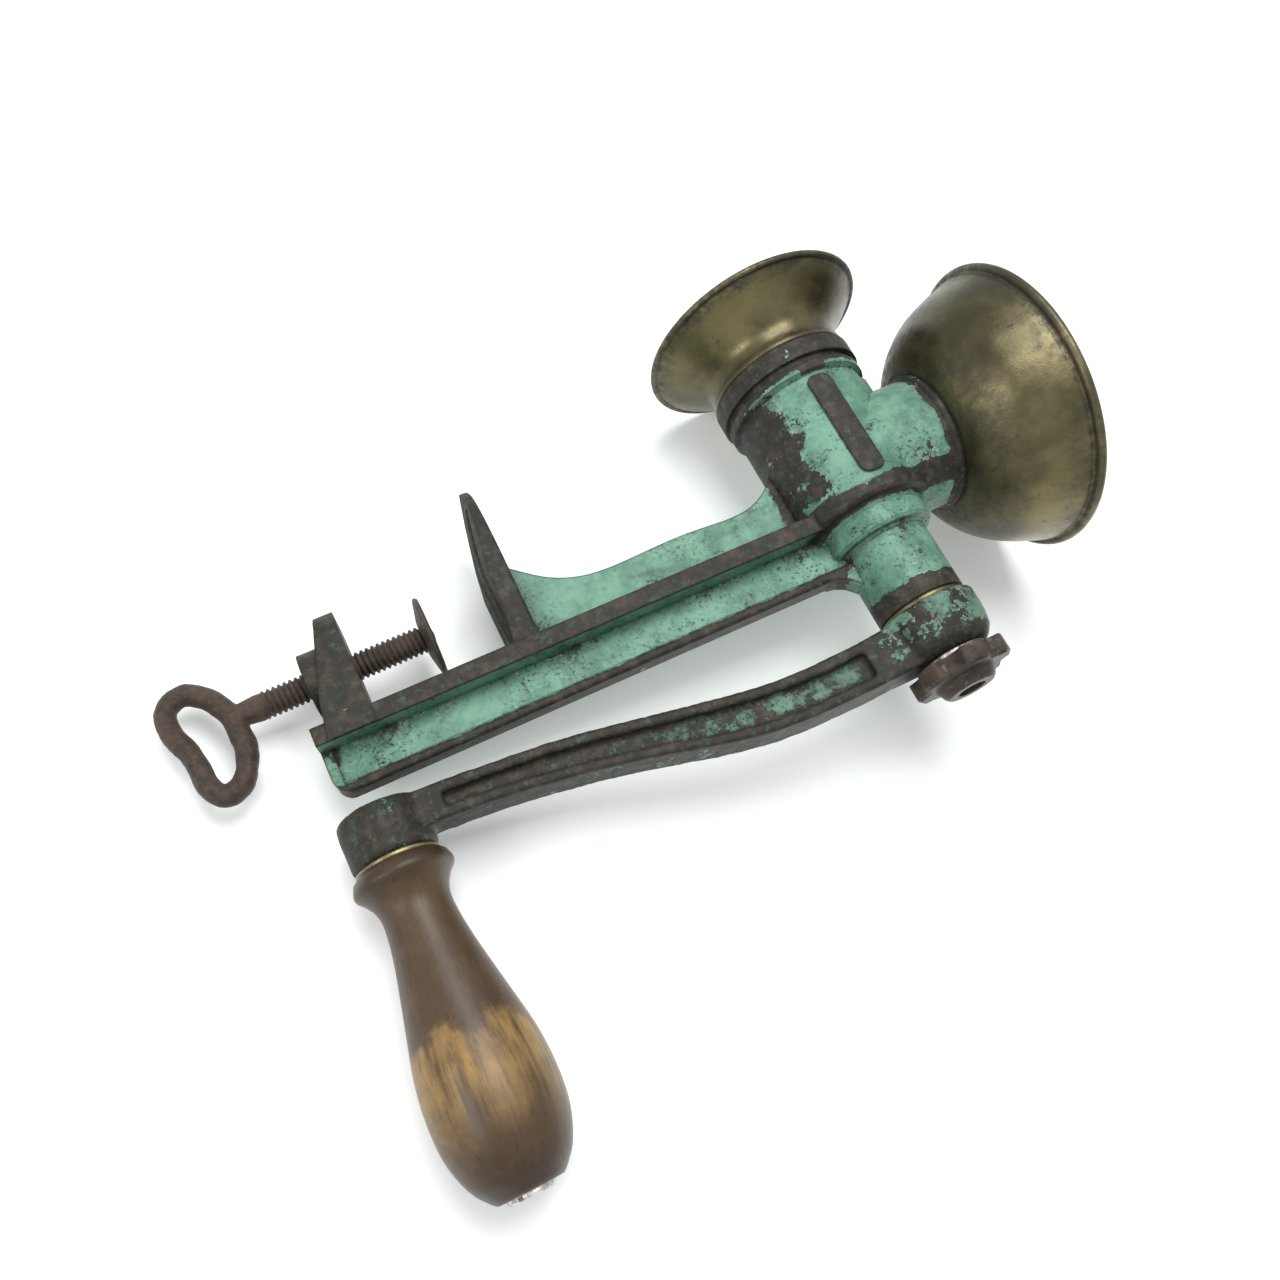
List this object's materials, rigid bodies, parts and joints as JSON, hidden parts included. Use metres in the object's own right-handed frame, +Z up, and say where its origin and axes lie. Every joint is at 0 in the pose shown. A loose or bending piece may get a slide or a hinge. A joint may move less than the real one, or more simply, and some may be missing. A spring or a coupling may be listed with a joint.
{
  "type": "hand cranked poppy seed mill",
  "caption": "Table-clamp hand mill for poppy seed: cast post and barrel, brass bowl and flared outlet, bowed crank with turned wooden grip, adjustable grinding cone.",
  "frame": {"origin": "point of the fixed jaw's underside that lies over the clamp screw, so z = 0 is the table top", "axes": "+Z up the post to the bowl, +Y along the shaft to the crank, outlet at -Y, +X to the side"},
  "size_m": [0.0858, 0.1853, 0.2532],
  "materials": {
    "green_paint": "chipped semi-gloss turquoise enamel over dark iron",
    "brass_sheet": "tarnished, satin",
    "dark_iron": "bare and browned",
    "rusty_iron": "rusty",
    "worn_steel": "worn, satin",
    "grip_wood": "dark stained and worn by the hand"
  },
  "bodies": {
    "frame": {"frame_casting": "green_paint", "hopper_bowl": "brass_sheet", "bowl_screw": "brass_sheet", "outlet_cone": "brass_sheet", "grinding_ring": "dark_iron", "ring_pin": "worn_steel"},
    "crank": {"crank_arm": "green_paint", "thrust_washer": "brass_sheet", "nut_washer": "worn_steel", "grip_spindle": "worn_steel", "grip_washer": "brass_sheet"},
    "grip": {"handle_grip": "grip_wood"},
    "nut": {"star_nut": "dark_iron"},
    "rotor": {"drive_shaft": "worn_steel", "feed_worm": "dark_iron", "worm_pin": "worn_steel", "grinding_cone": "dark_iron", "cone_washer": "worn_steel", "cone_nut": "worn_steel"},
    "pad": {"pressure_pad": "rusty_iron"},
    "screw": {"clamp_screw": "rusty_iron", "pad_rivet": "rusty_iron"}
  },
  "joints": [
    {"name": "crank_turn", "type": "hinge", "parent": "frame", "child": "crank", "pos_m": [0, 0.0035, 0.106], "axis": [0, -1, 0], "continuous": true},
    {"name": "grip_spin", "type": "hinge", "parent": "crank", "child": "grip", "pos_m": [0, 0.0935, -0.047], "axis": [0, 1, 0], "continuous": true},
    {"name": "nut_turn", "type": "hinge", "parent": "crank", "child": "nut", "pos_m": [0, 0.0695, 0.106], "axis": [0, 1, 0], "range_deg": [-390, 570]},
    {"name": "rotor_shift", "type": "slide", "parent": "crank", "child": "rotor", "axis": [0, 1, 0], "range_m": [-0.00187, 0.00125]},
    {"name": "screw_travel", "type": "slide", "parent": "frame", "child": "pad", "axis": [0, 0, 1], "range_m": [-0.0165, 0.012]},
    {"name": "screw_turn", "type": "hinge", "parent": "pad", "child": "screw", "pos_m": [0, 0, -0.02], "axis": [0, 0, 1], "range_deg": [-3990, 2910]}
  ],
  "couplings": [
    {"joint": "nut_turn", "follows": "rotor_shift", "rad_per_m": -5026.5},
    {"joint": "screw_turn", "follows": "screw_travel", "rad_per_m": 4188.8}
  ]
}
